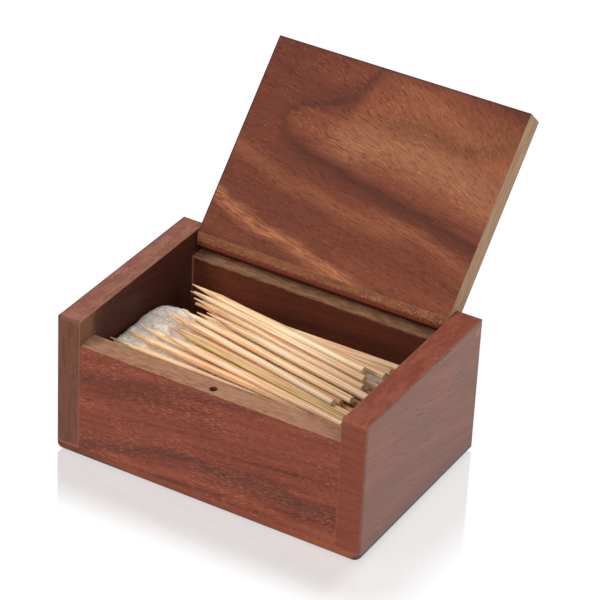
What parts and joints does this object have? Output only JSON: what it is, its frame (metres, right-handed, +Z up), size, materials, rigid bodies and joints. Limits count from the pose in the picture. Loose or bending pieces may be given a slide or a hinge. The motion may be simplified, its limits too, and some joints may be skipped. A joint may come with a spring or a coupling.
{
  "type": "toothpick holder",
  "caption": "Rectangular hardwood box with a pin-hinged lid leaning open, holding a loose pile of pointed wooden toothpicks on a soft wadding pad.",
  "frame": {"origin": "centre of the base board's underside", "axes": "+Z up, the front panel faces -Y, +X towards the right end panel"},
  "size_m": [0.1, 0.1099, 0.0909],
  "materials": {
    "base_wood": "satin",
    "left_end_wood": "satin",
    "right_end_wood": "satin",
    "front_wood": "satin",
    "back_wood": "satin",
    "lid_wood": "satin",
    "pin_steel": "satin",
    "wood_filler": "matte",
    "wadding": "matte",
    "bamboo": "matte"
  },
  "bodies": {
    "box": {"base_board": "base_wood", "left_end": "left_end_wood", "right_end": "right_end_wood", "front_panel": "front_wood", "back_panel": "back_wood", "left_hinge_pin": "pin_steel", "right_hinge_pin": "pin_steel", "left_filler_plug": "wood_filler", "right_filler_plug": "wood_filler", "wadding_pad": "wadding", "toothpick_01": "bamboo", "toothpick_02": "bamboo", "toothpick_03": "bamboo", "toothpick_04": "bamboo", "toothpick_05": "bamboo", "toothpick_06": "bamboo", "toothpick_07": "bamboo", "toothpick_08": "bamboo", "toothpick_09": "bamboo", "toothpick_10": "bamboo", "toothpick_11": "bamboo", "toothpick_12": "bamboo", "toothpick_13": "bamboo", "toothpick_14": "bamboo", "toothpick_15": "bamboo", "toothpick_16": "bamboo", "toothpick_17": "bamboo", "toothpick_18": "bamboo", "toothpick_19": "bamboo", "toothpick_20": "bamboo", "toothpick_21": "bamboo", "toothpick_22": "bamboo", "toothpick_23": "bamboo", "toothpick_24": "bamboo", "toothpick_25": "bamboo", "toothpick_26": "bamboo", "toothpick_27": "bamboo"},
    "lid": {"lid": "lid_wood"},
    "loose_toothpick": {"loose_toothpick": "bamboo"}
  },
  "joints": [
    {"name": "lid_hinge", "type": "hinge", "parent": "box", "child": "lid", "pos_m": [0, 0.0305, 0.0414], "axis": [1, 0, 0], "range_deg": [0, 133]},
    {"name": "loose_toothpick_lift", "type": "slide", "parent": "box", "child": "loose_toothpick", "axis": [0, 0, 1], "range_m": [0, 0.06]}
  ]
}
